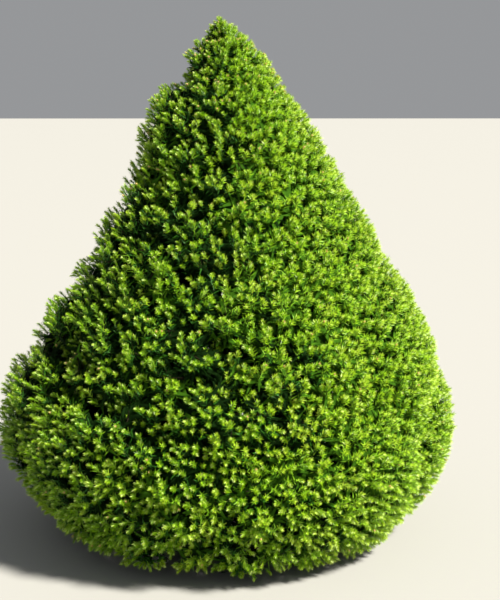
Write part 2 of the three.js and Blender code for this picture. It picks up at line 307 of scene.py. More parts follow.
masses = placeMasses()
tierNames = [tier["name"] for tier in massRule["tiers"]]
centres = np.array([mass["centre"] for mass in masses])
wallNormals = unit(centres[None] - centres[:, None] + 1e-12)  # from the first mass to the second
wallOffsets = np.einsum("ijk,ijk->ij", wallNormals, (centres[None] + centres[:, None]) / 2)
np.fill_diagonal(wallOffsets, np.inf)


def massesOf(tier):
    return [mass for mass in masses if mass["tier"] == tier]


def nodesOf(kind, tier):
    return [f"{kind}_{mass['name']}" for mass in massesOf(tier)]


def massAt(points):
    return np.argmin(np.linalg.norm(points[:, None] - centres, axis=-1), axis=1)


# How far each point lies from the nearest gap between its mass and another.
def roomAround(points, owner):
    return (wallOffsets[owner] - np.einsum("ijk,ik->ij", wallNormals[owner], points)).min(axis=1)


# How far the crown juts out over the hollows between its ledges.
def ledgeReach(z, turn):
    side = np.maximum(np.cos(turn - math.radians(crown["ledgeTurn"])), 0) ** crown["ledgePower"]
    reach = 0 * side
    for level, most, height in crown["ledges"]:
        below = np.clip(1 - (level - z) / height, 0, 1) * (z <= level)
        above = np.clip(1 - (z - level) / crown["ledgeRise"], 0, 1) * (z > level)
        reach = np.maximum(reach, most * (below + above))
    return reach * side


def crownRadius(z, turn):
    plain = outlineRadius(z)
    points = middleAt(z) + plain[..., None] * outwards(turn)
    nearest = np.sort(np.linalg.norm(points[..., None, :] - centres, axis=-1), axis=-1)
    groove = np.exp(-(((nearest[..., 1] - nearest[..., 0]) / massRule["grooveWidth"]) ** 2))
    return plain * (1 - massRule["grooveDepth"] * groove) + ledgeReach(z, turn)


# How far inside the crown's skin each point lies, and its height and turn.
def depthInside(points):
    z = np.clip(points[..., 2], crown["foot"], crown["top"] - 0.001)
    turn, across = roundStem(points, z)
    return crownRadius(z, turn) - across, z, turn


def outwardAt(z, turn):
    step = 0.012
    slope = (outlineRadius(z + step) - outlineRadius(z - step)) / (2 * step)
    return unit(outwards(turn) - slope[..., None] * upwards)


def spraySize(z):
    smallest = sprayRule["smallest"]
    return np.minimum(1, smallest + (1 - smallest) * outlineRadius(z) / sprayRule["fullRadius"])


# True where a mass's wood may branch: inside the crown's skin, off the floor, outside the hollow.
def insideCore(mass, points):
    z = points[:, 2]
    turn, across = roundStem(points, z)
    fits = (z >= crown["foot"] + massRule["coreUndersideLift"]) & (z <= crown["top"])
    if mass["tier"] != "tip":
        fits &= across >= hollowRadius(z)
    reached = points + outwardAt(z, turn) * (sprayRule["stand"] * spraySize(z))[:, None]
    _, acrossThere = roundStem(reached, reached[:, 2])
    return fits & (reached[:, 2] <= crown["top"]) & (acrossThere < crownRadius(reached[:, 2], turn))


# How far a mass's wood can run from a point in one direction.
def coreReach(mass, start, direction):
    farthest = 2.0
    step = 0.004
    towards = wallNormals[mass["key"]] @ direction
    room = wallOffsets[mass["key"]] - massRule["gap"] / 2 - wallNormals[mass["key"]] @ start
    faced = (towards > 1e-6) & np.isfinite(room)
    reach = min((room[faced] / towards[faced]).min(initial=farthest), farthest)
    runs = np.arange(step, reach + step, step)
    outside = ~insideCore(mass, start + runs[:, None] * direction)
    return min(runs[np.argmax(outside)] if outside.any() else reach, reach)


# Ends of the main twigs, which fan out from the stem over a mass.
def mainEnds(mass):
    lifted = unit(mass["way"] + sprayRule["mainLift"] * upwards)
    side, up = squareTo(lifted)
    ends = []
    for k in range(sprayRule["mainTwigs"]):
        turn = k * goldenAngle + 2 * math.pi * float(seeded(mass["key"], 3))
        spread = sprayRule["mainSpread"] * math.sqrt((k + 0.5) / sprayRule["mainTwigs"])
        direction = unit(lifted + spread * math.cos(turn) * side + spread * math.sin(turn) * up)
        reach = coreReach(mass, mass["hub"], direction)
        ends.append(mass["hub"] + direction * sprayRule["mainReach"] * reach)
    return np.array(ends)


# Levels at which count points are spread evenly over the skin, or more densely towards the top.
def equalAreaHeights(count, crowding=0):
    heights = np.append(np.arange(crown["foot"], crown["top"], 0.004), crown["top"])
    radii = outlineRadius(heights)
    bands = np.hypot(np.diff(heights), np.diff(radii)) * (radii[1:] + radii[:-1]) / 2
    areas = np.concatenate([[0], np.cumsum(bands * (1 + crowding * rising(heights[1:], crown["crowded"])))])
    return np.interp(areas[-1] * (np.arange(count) + 0.5) / count, areas, heights)


# Points on the crown's skin, moved a little into the space of the mass that each belongs to.
def placeEnds(z, turn, clearance):
    ends = middleAt(z) + crownRadius(z, turn)[:, None] * outwards(turn)
    owner = massAt(ends)
    for other in range(len(masses)):
        normals = wallNormals[owner, other]
        short = np.einsum("ij,ij->i", normals, ends) - wallOffsets[owner, other] + clearance
        ends = ends - normals * np.maximum(np.where(owner == other, 0, short), 0)[:, None]
    return ends, owner


# The main sprays, one for each spray of the solids.
def placeSprays():
    z = equalAreaHeights(sprayRule["count"])
    key = np.arange(len(z))
    turn = key * goldenAngle
    ends, owner = placeEnds(z, turn, sprayRule["clearance"] * sprayRule["width"] * spraySize(z))
    hubs = np.array([mass["hub"] for mass in masses])[owner]
    fromHub = unit(ends - hubs)
    side, up = squareTo(fromHub)
    ways = unit(outwardAt(z, turn) + fromHub)
    ways = ways + sprayRule["tilt"] * (signed(key, 4)[:, None] * side + signed(key, 5)[:, None] * up)
    size = spraySize(z) * varied(sprayRule["sizes"], key, 6)
    leader = np.append(middleAt(crown["top"])[:2], crown["top"])
    return {
        "end": np.vstack([ends, leader]),
        "way": np.vstack([unit(ways), upwards]),
        "size": np.append(size, sprayRule["smallest"] * sprayRule["leaderSize"]),
        "owner": np.append(owner, 0),
    }


sprays = placeSprays()
mains = [mainEnds(mass) for mass in masses]
print("masses:", len(masses), "sprays:", len(sprays["end"]))


def spraysOf(tier):
    return np.flatnonzero([masses[owner]["tier"] == tier for owner in sprays["owner"]])


# The spray nearest to each point, out of those of its own mass.
def nearestSpray(points, owner):
    gaps = np.linalg.norm(points[:, None] - sprays["end"][None], axis=-1)
    gaps[owner[:, None] != sprays["owner"][None]] = np.inf
    return np.argmin(gaps, axis=1)


# Each spray's own twig: from the nearest main twig's end to the collar below its needles.
def sprayTwigs():
    drop = sprayRule["stand"] * sprays["size"] * (1 - sprayRule["neck"])
    collars = sprays["end"] - sprays["way"] * drop[:, None]
    origins = np.empty_like(collars)
    for i, owner in enumerate(sprays["owner"]):
        ends = mains[owner]
        origins[i] = ends[np.argmin(np.linalg.norm(ends - collars[i], axis=1))]
    return origins, collars


twigStarts, twigCollars = sprayTwigs()


# Tufts: the rule of the sprays, carried on to every twig that ends in the crown's skin.
tuftRule = {
    "count": 8200,
    "topCrowding": 0.6,
    "topMargin": 0.004,
    "scatter": 0.013,  # tufts leave the even spiral by up to this much
    "leastRadius": 0.02,
    "clearance": 0.002,  # from the gaps between masses
    "size": 0.72,  # a tuft's size is this and a share of its spray's
    "sizeBySpray": 0.28,
    "depth": 0.008,  # the needles' tips reach this far beyond a shoot's end
    "roughness": 0.012,  # tufts end up to this much deeper, each its own
    "lobeDepth": 0.018,  # tufts between two sprays end this much deeper than those in a spray's middle
    "lobeRadius": 0.085,
    "lobeMost": 1.5,
    "undercut": 0.012,  # and those below a spray's middle this much deeper again
    "clumpDepth": 0.022,  # some tufts stand out in small clumps, and those between end this much deeper
    "clumpSize": 0.055,
    "clumpShift": 3,  # takes the noise of the clumps from another place than that of the pits
    "clumpDips": (-0.12, 0.4),  # the dips between them deepen over this stretch of the noise
    "gather": 0.009,  # tufts close up towards the middle of their clump
    "gatherProbe": 0.1,
    "pitDepth": 0.07,  # shaded pits, wider than high, between some of the sprays
    "pitWidth": 0.21,
    "pitHeight": 0.085,
    "pits": (0.16, 0.22),  # they deepen over this stretch of the noise
    "deepest": 0.095,  # but none ends deeper than this
    "seamEase": 0.6,  # all of these are less deep by this share beside the gaps between masses
    "seamWidth": 0.04,
    "shadeTurn": 200,  # the relief is deepest on this side
    "relief": 0.56,
    "shadeRelief": 0.89,
    "leastRelief": 0.3,
    "sunnyRelief": 0.12,  # the share of the depths that is left on the sunny side
    "narrowRelief": 0.1,  # and at the tip of the crown
    "fullRadius": 0.48,  # where the crown is wider than about this, the relief is full
    "lowEase": 0.55,  # the relief is less by this share low down
    "lowLevel": 0.8,
    "lowFade": 0.3,
    "swell": 0.0125,  # above the belly tufts stand out by this or more, to make up for the deep ones
    "swellRise": (0.5, 0.25),  # from this level up, and fully this far above it
    "evenRadius": 0.3,  # where the crown is narrower than this, tufts swell and gather less
    "pinch": 0.02,  # the tip of the crown is this much slimmer
    "pinchMost": 0.5,  # but by no more than this share of its radius
    "pinchRise": (1.81, 0.05),
    "fan": 0.5,  # how far the tufts of a spray lean away from its middle
    "lift": 0.78,
    "tilt": 0.26,
    "sunnyTurn": 353,  # middle of the sunny side at the belly
    "sunnyTwist": 20,  # how far it turns to the front for each metre up
    "sunny": (0.5, 0.3),  # its edge: a stretch of the cosine of the turn from its middle
    "sunnyCalm": 0.6,  # tufts gather and lean less by this share on the sunny side, and low down
    "lowCalm": 0.5,
    "forkDepth": 0.052,  # tufts branch off about this far below the collar of their spray
    "forks": (0.7, 0.6),
    "bend": 0.42,  # their twigs turn into the tuft's own way over this share of their run
}
shootRule = {
    "length": 0.029,
    "weakest": 0.72,  # shoots differ in vigour, from this share up
    "strongest": 1.2,
    "size": 0.5,  # of their needles: this and a share of the vigour
    "sizeByVigour": 0.5,
    "spread": 14,
    "nods": (0.1, 0.2),  # the tip of a shoot bends down by such a share of its length
    "radius": 0.0014,
    "stemShare": 0.97,
}


def softNoise(points, size):
    return np.array([noise.noise(Vector(place)) for place in points / np.array(size) + draws["seed"]])


# Depth of the pits and of the dips between small clumps: soft noise over the crown.
def unevenDepth(points):
    rule = tuftRule
    wide = rule["pitWidth"]
    pits = rising(softNoise(points, [wide, wide, rule["pitHeight"]]), rule["pits"])
    dips = rising(softNoise(points + rule["clumpShift"], rule["clumpSize"]), rule["clumpDips"])
    return rule["pitDepth"] * pits + rule["clumpDepth"] * dips


# A step from each point along the skin, towards the dips between the clumps.
def towardsDips(points, normals):
    size, probe = tuftRule["clumpSize"], tuftRule["gatherProbe"]
    places = points + tuftRule["clumpShift"]
    here = softNoise(places, size)
    step = 0
    for way in squareTo(normals):
        rise = softNoise(places + probe * size * way, size) - here
        step = step + (rise / probe)[:, None] * way
    return tuftRule["gather"] * step


# From 0 to 1: the side away from the sun.
def shadySide(turn):
    return np.clip(np.cos(turn - math.radians(tuftRule["shadeTurn"])), 0, 1)


# From 0 to 1: the side that grows in full sun, where the shoots stand close and even.
def sunnySide(turn, z):
    middle = np.radians(tuftRule["sunnyTurn"] - tuftRule["sunnyTwist"] * (z - crown["widest"]))
    return rising(np.cos(turn - middle), tuftRule["sunny"])


# From 0 to 1: the lower part of the crown.
def lowDown(z):
    return np.clip((tuftRule["lowLevel"] - z) / tuftRule["lowFade"], 0, 1)


# The share of the relief's full depth that each place has.
def reliefAt(z, turn, sunny):
    rule = tuftRule
    relief = rule["relief"] + rule["shadeRelief"] * np.cos(turn - math.radians(rule["shadeTurn"]))
    relief = np.maximum(relief, rule["leastRelief"])
    relief = relief * (1 - sunny) + rule["sunnyRelief"] * sunny
    relief = relief * np.minimum(rule["narrowRelief"] + outlineRadius(z) / rule["fullRadius"], 1)
    return relief * (1 - rule["lowEase"] * lowDown(z))


# How deep in the crown's skin each tuft lies; offset is its place from the middle of its spray.
def tuftDepth(key, ends, owner, offset, relief):
    rule = tuftRule
    deep = rule["lobeDepth"] * np.minimum((offset ** 2).sum(axis=1), rule["lobeMost"])
    deep = deep + rule["undercut"] * np.clip(-offset[:, 2], 0, 1) + rule["roughness"] * seeded(key, 23)
    deep = deep + unevenDepth(ends)
    seam = np.exp(-roomAround(ends, owner) / rule["seamWidth"])
    return np.minimum(deep * relief * (1 - rule["seamEase"] * seam), rule["deepest"])


def placeTufts():
    rule = tuftRule
    key = np.arange(rule["count"])
    z = equalAreaHeights(rule["count"], rule["topCrowding"]) + rule["scatter"] * signed(key, 21)
    z = np.clip(z, crown["foot"], crown["top"] - rule["topMargin"])
    radius = outlineRadius(z)
    turn = key * goldenAngle + rule["scatter"] * signed(key, 22) / np.maximum(radius, rule["leastRadius"])
    ends, owner = placeEnds(z, turn, rule["clearance"])
    normal = outwardAt(z, turn)
    sunny = sunnySide(turn, z)
    loose = 1 - rule["sunnyCalm"] * sunny
    narrow = np.minimum(radius / rule["evenRadius"], 1)
    gather = loose * (1 - rule["lowCalm"] * lowDown(z)) * narrow
    ends = ends - gather[:, None] * towardsDips(ends, normal)
    spray = nearestSpray(ends, owner)
    offset = ends - sprays["end"][spray]
    offset -= np.einsum("ij,ij->i", offset, normal)[:, None] * normal
    offset /= rule["lobeRadius"]
    relief = reliefAt(z, turn, sunny)
    deep = tuftDepth(key, ends, owner, offset, relief)
    deep = deep - rule["swell"] * (1 + relief) * (rising(z, rule["swellRise"]) * narrow)
    ends = ends - normal * (rule["depth"] + deep)[:, None]
    pinch = np.minimum(rule["pinch"], rule["pinchMost"] * radius) * rising(z, rule["pinchRise"])
    ends = ends - outwards(turn) * pinch[:, None]
    side, up = squareTo(normal)
    ways = normal + rule["fan"] * loose[:, None] * offset + rule["lift"] * upwards
    tilt = signed(key, 24)[:, None] * side + signed(key, 25)[:, None] * up
    ways = unit(ways + rule["tilt"] * loose[:, None] * tilt)
    size = rule["size"] + rule["sizeBySpray"] * spraySize(z)
    bases = ends - ways * (shootRule["length"] * size)[:, None]
    return {"key": key, "owner": owner, "spray": spray, "base": bases, "way": ways, "normal": normal,
            "size": size, "z": z, "turn": turn}


# Tufts under the skirt: on a spiral over its underside, they point outwards.
undersideRule = {
    "count": 420,
    "inner": 0.16,  # they start this far from the stem
    "inset": 0.19,  # and spread over this much less than the crown's radius at its foot
    "levels": (0.085, 0.05),
    "outward": 0.45,
    "tilt": 0.3,
    "length": 0.026,
}


def placeUnderside():
    rule = undersideRule
    n = rule["count"]
    key = np.arange(n) + tuftRule["count"]
    turn = key * goldenAngle
    share = np.sqrt((np.arange(n) + 0.5) / n)
    radius = rule["inner"] + (float(outlineRadius(crown["foot"])) - rule["inset"]) * share
    z = varied(rule["levels"], key, 23)
    ends = middleAt(z) + radius[:, None] * outwards(turn)
    owner = massAt(ends)
    normal = unit(rule["outward"] * outwards(turn) - upwards)
    ways = unit(outwards(turn) + rule["tilt"] * signed(key, 24)[:, None] * upwards)
    bases = ends - rule["length"] * ways
    return {"key": key, "owner": owner, "spray": nearestSpray(ends, owner), "base": bases, "way": ways,
            "normal": normal, "size": np.ones(n), "z": z, "turn": turn}


skirtTufts = placeUnderside()
tufts = {name: np.concatenate([values, skirtTufts[name]]) for name, values in placeTufts().items()}
tufts["room"] = roomAround(tufts["base"], tufts["owner"])
tufts["sunny"] = sunnySide(tufts["turn"], tufts["z"])
tufts["shady"] = shadySide(tufts["turn"])
tufts["tier"] = np.array([tierNames.index(mass["tier"]) for mass in masses])[tufts["owner"]]


# Each tuft is topped by one new shoot, but for those under the skirt, where it is too dark.
def placeShoots():
    rule = shootRule
    key = np.arange(tuftRule["count"])
    spread = np.radians(rule["spread"] * seeded(key, 26))
    ways = tipped(tufts["way"][key], 2 * math.pi * seeded(key, 27), spread)
    vigour = rule["weakest"] + (rule["strongest"] - rule["weakest"]) * seeded(key, 29)
    length = rule["length"] * tufts["size"][key] * vigour
    nod = varied(rule["nods"], key, 30) * length
    size = tufts["size"][key] * (rule["size"] + rule["sizeByVigour"] * vigour)
    return {"key": key, "base": tufts["base"][key], "way": ways, "length": length, "nod": nod, "size": size,
            "tier": tufts["tier"][key], "z": tufts["z"][key]}


shoots = placeShoots()
print("tufts:", len(tufts["key"]), "shoots:", len(shoots["key"]))


# Where a tuft's own twig leaves its spray's twig, and the points it runs through to its base.
def tuftTwigs():
    rule = tuftRule
    start, collar = twigStarts[tufts["spray"]], twigCollars[tufts["spray"]]
    run = np.linalg.norm(start - collar, axis=1)
    back = rule["forkDepth"] * varied(rule["forks"], tufts["key"], 31)
    forks = collar + (start - collar) * (np.minimum(back, run) / run)[:, None]
    bases = tufts["base"]
    bend = bases - tufts["way"] * (rule["bend"] * np.linalg.norm(bases - forks, axis=1))[:, None]
    return np.stack([forks, bend, bases], axis=1)


tuftLines = tuftTwigs()


# Points along each shoot at the given shares of its length, and the way it runs there.
def alongShoots(chosen, share):
    way, base = shoots["way"][chosen][:, None], shoots["base"][chosen][:, None]
    length, nod = shoots["length"][chosen][:, None], shoots["nod"][chosen][:, None]
    points = base + way * (length * share)[..., None] - upwards * (nod * share ** 2)[..., None]
    axis = unit(way * length[..., None] - upwards * (2 * nod * share)[..., None])
    return points, axis


# Points on the twigs of the chosen tufts at the given distances back from the tuft.
def alongTwigs(chosen, back):
    forks, bends, bases = (tuftLines[chosen][:, k][:, None] for k in range(3))
    outer = np.linalg.norm(bases - bends, axis=-1)
    inner = np.linalg.norm(bends - forks, axis=-1)
    onOuter = np.clip(1 - back / outer, 0, 1)[..., None]
    onInner = np.clip(1 - (back - outer) / inner, 0, 1)[..., None]
    beyond = (back > outer)[..., None]
    points = np.where(beyond, forks + (bends - forks) * onInner, bends + (bases - bends) * onOuter)
    return points, unit(np.where(beyond, bends - forks, bases - bends))


def meshFrom(name, points, faces, smooth=False):
    mesh = bpy.data.meshes.new(name)
    mesh.vertices.add(len(points))
    mesh.vertices.foreach_set("co", np.ascontiguousarray(points, dtype=np.float32).ravel())
    mesh.loops.add(faces.size)
    mesh.loops.foreach_set("vertex_index", np.ascontiguousarray(faces, dtype=np.int32).ravel())
    mesh.polygons.add(len(faces))
    mesh.polygons.foreach_set("loop_start", np.arange(0, faces.size, faces.shape[1], dtype=np.int32))
    mesh.polygons.foreach_set("use_smooth", np.full(len(faces), smooth))
    mesh.update(calc_edges=True)
    return mesh


def addPiece(name, points, faces, material, slot, replaced, smooth=False):
    piece = bpy.data.objects.new(name, meshFrom(name, points, faces, smooth))
    piece.data.materials.append(material)
    scene.collection.objects.link(piece)
    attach(piece, "root")
    if replaced:
        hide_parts(*replaced)


# Faces of one tube, ring by ring, and over both of its ends.
def tubeFaces(rings, sides):
    a = np.arange(sides)
    b = (a + 1) % sides
    walls = []
    for low in range(0, (rings - 1) * sides, sides):
        high = low + sides
        walls.append(np.stack([a + low, b + low, b + high], axis=-1))
        walls.append(np.stack([a + low, b + high, a + high], axis=-1))
    fan = np.arange(1, sides - 1)
    last = (rings - 1) * sides
    walls.append(np.stack([0 * fan, fan + 1, fan], axis=-1))
    walls.append(np.stack([last + 0 * fan, last + fan, last + fan + 1], axis=-1))
    return np.concatenate(walls)


# Tubes along many lines at once: lines is (tubes, points, 3) and radii is (tubes, points).
def tubes(lines, radii, sides):
    ahead = np.concatenate([lines[:, 1:], lines[:, -1:]], axis=1)
    behind = np.concatenate([lines[:, :1], lines[:, :-1]], axis=1)
    turn = 2 * math.pi * np.arange(sides) / sides
    ring = squareAt(unit(ahead - behind)[:, :, None], turn)
    points = lines[..., None, :] + radii[..., None, None] * ring
    count, rings = lines.shape[:2]
    faces = tubeFaces(rings, sides)[None] + (np.arange(count) * rings * sides)[:, None, None]
    return points.reshape(-1, 3), faces.reshape(-1, 3)


# Tubes that all taper in the same way: shape has the share of the radius at each of their points.
def taperedTubes(lines, radius, shape, sides):
    return tubes(lines, radius * np.repeat([shape], len(lines), axis=0), sides)


# Many sets of points and faces as one.
def joined(parts):
    starts = np.cumsum([0] + [len(points) for points, _ in parts[:-1]])
    return (np.concatenate([points for points, _ in parts]),
            np.concatenate([faces + start for (_, faces), start in zip(parts, starts)]))


# Needles as twisted blades of two faces: broad at the root, narrow at the tip.
blade = {
    "root": 1.02,
    "tip": 0.26,
    "twist": 0.5,
    "sizes": (0.75, 0.5),
    "margin": 0.001,  # needles that would come nearer than this to the solids' own reach are left out
    "offFloor": 0.003,  # and so are those that would come this near to the floor
}


def blades(roots, ways, flats, lengths, widths):
    flats = unit(flats)
    turned = unit(flats + blade["twist"] * np.cross(ways, flats))
    atRoot = flats * (blade["root"] / 2 * widths)[..., None]
    atTip = turned * (blade["tip"] / 2 * widths)[..., None]
    tips = roots + ways * lengths[..., None]
    points = np.stack([roots - atRoot, roots + atRoot, tips + atTip, tips - atTip], axis=-2)
    return points.reshape(-1, 4, 3)


def insideBox(points):
    low, high = (np.array(corner) for corner in cadBox)
    low = np.array([low[0] + blade["margin"], low[1] + blade["margin"], blade["offFloor"]])
    return ((points > low) & (points < high - blade["margin"])).all(axis=(1, 2))


def bladePiece(name, points, material, slot, replaced):
    points = points[insideBox(points)]
    corners = np.arange(len(points))[:, None] * 4
    faces = np.concatenate([corners + [0, 1, 2], corners + [0, 2, 3]])
    addPiece(name, points.reshape(-1, 3), faces, material, slot, replaced)


# Keys of shoots or twigs down the rows and the numbers of their needles along them.
def needleRows(keys, count):
    return keys[:, None] * 1.0, np.arange(count)[None]


# New growth: a brush of soft needles round each nodding shoot, closed over its tip.
newNeedles = {
    "perShoot": 34,
    "length": 0.0168,
    "width": 0.0031,
    "start": 0.08,  # where the first one stands, as a share of the shoot, and how far on the last one
    "reach": 0.92,
    "crowding": 0.8,  # below 1 they stand closer towards the tip
    "baseAngle": 53,
    "tipAngle": 19,
    "angleBend": 1.5,
    "angles": (0.65, 0.7),
    "droop": 0.16,
    "sizes": (0.8, 0.4),
    "tipLoss": 0.25,
    "lossBend": 3,
    "sunnySpread": 0.2,  # on the sunny side they spread wider and are longer, and mingle
    "sunnyGrowth": 0.12,
    "shadyLoss": 0.12,
}


def growNewNeedles(chosen):
    rule = newNeedles
    n = rule["perShoot"]
    key, i = needleRows(shoots["key"][chosen], n)
    share = rule["start"] + rule["reach"] * (i / (n - 1)) ** rule["crowding"]
    roots, axis = alongShoots(chosen, share)
    sunny = tufts["sunny"][chosen][:, None]
    shady = (tufts["shady"] * (1 - lowDown(tufts["z"])))[chosen][:, None]
    turn = i * goldenAngle + 2 * math.pi * seeded(key, 41)
    angle = rule["baseAngle"] + (rule["tipAngle"] - rule["baseAngle"]) * share ** rule["angleBend"]
    angle = np.radians(angle) * varied(rule["angles"], key * 31 + i, 42)
    ways = tipped(axis, turn, angle * (1 + rule["sunnySpread"] * sunny))
    ways = unit(ways - rule["droop"] * upwards)
    size = shoots["size"][chosen][:, None] * varied(rule["sizes"], key * 17 + i, 43)
    size = size * (1 - rule["tipLoss"] * share ** rule["lossBend"])
    length = rule["length"] * size * (1 + rule["sunnyGrowth"] * sunny - rule["shadyLoss"] * shady)
    return blades(roots, ways, np.cross(axis, ways), length, rule["width"] * np.sqrt(size))


# Last years' needles, on the twigs behind the new growth: longer and darker.
olderNeedles = {
    "perTuft": 7,
    "length": 0.021,
    "width": 0.0054,
    "reach": 0.045,
    "angle": 55,
    "angles": (0.8, 0.35),
    "roll": 0.35,
}


def growOlderNeedles(chosen):
    rule = olderNeedles
    key, i = needleRows(tufts["key"][chosen], rule["perTuft"])
    roots, axis = alongTwigs(chosen, rule["reach"] * (i + 0.5) / rule["perTuft"])
    turn = i * goldenAngle + 2 * math.pi * seeded(key, 62)
    ways = tipped(axis, turn, np.radians(rule["angle"]) * varied(rule["angles"], key * 29 + i, 63))
    flats = np.cross(axis, ways) + rule["roll"] * signed(key * 37 + i, 64)[..., None] * axis
    size = varied(blade["sizes"], key * 19 + i, 65)
    return blades(roots, ways, flats, rule["length"] * size, rule["width"] * size)


# Old needles along the twigs of the sprays and the main twigs, which fill the mass behind its tufts; they
# take the near-black tone of painted shade.
woodNeedles = {
    "sprays": {"firstKey": 9000, "count": 56, "length": 0.06, "width": 0.02, "reach": 0.62},
    "mains": {"firstKey": 9500, "count": 44, "length": 0.095, "width": 0.032, "reach": 1.0},
    "lean": 0.6,
    "leanBack": 0.2,
    "roll": 0.6,
    "tipSize": 0.3,  # they are smaller where the crown is narrow
    "fullRadius": 0.6,
}


def growAlong(kind, starts, ends, keys):
    rule = woodNeedles[kind]
    n = rule["count"]
    key, i = needleRows(keys + rule["firstKey"], n)
    along = rule["reach"] * (i + seeded(key * 11 + i, 91)) / n
    roots = starts[:, None] + (ends - starts)[:, None] * along[..., None]
    axis = unit(ends - starts)[:, None]
    lean = woodNeedles["lean"] * signed(key * 7 + i, 92) - woodNeedles["leanBack"]
    ways = unit(squareAt(axis, i * goldenAngle) + axis * lean[..., None])
    flats = np.cross(axis, ways) + woodNeedles["roll"] * signed(key * 5 + i, 93)[..., None] * axis
    shrink = np.minimum(woodNeedles["tipSize"] + outlineRadius(ends[:, 2]) / woodNeedles["fullRadius"], 1)
    size = varied(blade["sizes"], key * 3 + i, 94) * shrink[:, None]
    return blades(roots, ways, flats, rule["length"] * size, rule["width"] * size)


def growWoodNeedles(tier):
    chosen = spraysOf(tier)
    hubs = np.repeat([mass["hub"] for mass in massesOf(tier)], sprayRule["mainTwigs"], axis=0)
    ends = np.concatenate([mains[mass["key"]] for mass in massesOf(tier)])
    return np.concatenate([growAlong("sprays", twigStarts[chosen], twigCollars[chosen], chosen),
                           growAlong("mains", hubs, ends, np.arange(len(ends)))])


# The oldest needles lie flat to the crown's skin and close it against the light behind.
innerNeedles = {
    "perTuft": 8,
    "length": 0.05,
    "width": 0.016,
    "start": 0.03,
    "reach": 0.1,
    "roll": 0.4,
    "sink": 0.7,  # above 0.5 they point a little inwards
    "depth": 0.022,  # their tips stay this far inside the crown's skin
    "sunnyStart": 0.8,  # on the sunny side start and depth are less by these shares
    "sunnyDepth": 0.7,
    "tipSize": 0.35,  # and they are smaller where the crown is narrow
    "fullRadius": 0.25,
    "seamGrowth": 0.5,  # they are longer by this share across the gaps between masses
    "seamWidth": 0.03,
}


def growInnerNeedles(chosen):
    rule = innerNeedles
    key, i = needleRows(tufts["key"][chosen], rule["perTuft"])
    start = rule["start"] * (1 - rule["sunnyStart"] * tufts["sunny"][chosen])[:, None]
    back = start + (rule["reach"] - start) * (i + seeded(key * 13 + i, 71)) / rule["perTuft"]
    roots, _ = alongTwigs(chosen, back)
    normal = tufts["normal"][chosen][:, None]
    ways = squareAt(normal, i * goldenAngle + 2 * math.pi * seeded(key, 72))
    flats = np.cross(normal, ways) + rule["roll"] * signed(key * 37 + i, 73)[..., None] * normal
    ways = ways + rule["roll"] * (seeded(key * 41 + i, 74)[..., None] - rule["sink"]) * normal
    shrink = np.minimum(rule["tipSize"] + outlineRadius(tufts["z"][chosen]) / rule["fullRadius"], 1)
    grow = 1 + rule["seamGrowth"] * np.exp(-tufts["room"][chosen] / rule["seamWidth"])
    size = varied(blade["sizes"], key * 19 + i, 75) * shrink[:, None] * grow[:, None]
    return blades(roots, unit(ways), unit(flats), rule["length"] * size, rule["width"] * size)


def skipShallow(points):
    depth, z, turn = depthInside(points[:, 2])  # corner 2 is at the tip
    return points[depth > innerNeedles["depth"] * (1 - innerNeedles["sunnyDepth"] * sunnySide(turn, z))]


# Plain finishes: roughness and strength of the gloss.
plainLooks = {
    "new growth": (0.38, 0.55),
    "older needles": (0.55, 0.25),
    "inner needles": (0.85, 0.05),
    "twig bark": (0.85, 0.1),
    "green shoot": (0.6, 0.35),
    "bud scale": (0.5, 0.35),
}


def plainFinish(look, colour, tone=""):
    roughness, gloss = plainLooks[look]
    finish = Finish(f"{look} {tone}".strip())
    return finish.surface(Base_Color=(*colour, 1), Roughness=roughness, Specular_IOR_Level=gloss)


newTones = [
    ("glint", (0.66, 0.8, 0.24), 0),  # painted highlights: single pale needles at the shoots' tips, fewer on the sunny side
    ("lime", (0.38, 0.55, 0.028), 0.36),
    ("fresh", (0.3, 0.52, 0.01), 0.38),
    ("leaf", (0.2, 0.4, 0.004), 0.26),
]
# Older and inner needles come in a lit copy, green, and a copy in painted shade, dark, dealt to twigs on the
# shady side. All the inner tones are near black: painted shade for the hollow behind the tufts.
olderTones = [("green", (0.15, 0.33, 0.008)), ("dark", (0.022, 0.115, 0.005))]
innerTones = [("green", (0.03, 0.09, 0.004)), ("dark", (0.004, 0.016, 0.0015))]
newFinishes = [plainFinish("new growth", colour, name) for name, colour, _ in newTones]
olderFinishes = [plainFinish("older needles", colour, name) for name, colour in olderTones]
innerFinishes = [plainFinish("inner needles", colour, name) for name, colour in innerTones]
toneRule = {
    "bySpray": 0.25,  # the higher the sum of these draws, the darker the tone
    "byShoot": 0.35,
    "byNeedle": 0.3,
    "alongShoot": 0.3,  # needles are paler towards the tip of their shoot: partly the colour of new growth, partly painted light on the tufts' lit tops
    "sunnyCalm": 0.4,  # on the sunny side sprays and shoots differ less by this share
    # painted shade: tones are darker on the shady side
    "byShade": 0.16,
    "bySun": 0.26,  # painted shade: the sunny side, which is lit the most, takes deeper tones to keep it from turning too pale
    # painted highlights: a share of the needles near each shoot's tip take the glint tone
    "glintShare": 0.2,
    "glintStart": 0.6,  # as a share of the shoot
    "glintMost": 1.2,
    "glintSunnyLoss": 0.8,
    "shadeToneLimit": 1.1,  # of draws from 0 to 2, those above this give a twig's needles the dark tone of painted shade
    # the limit is lower on the shady side and higher in the sun
    "olderShade": 0.5,
    "olderSun": 1.3,
}
tierSlots = {
    "tip": "crown_top_needles",
    "upper": "crown_top_needles",
    "middle": "crown_needles",
    "lower": "crown_needles",
    "skirt": "skirt_needles",
}
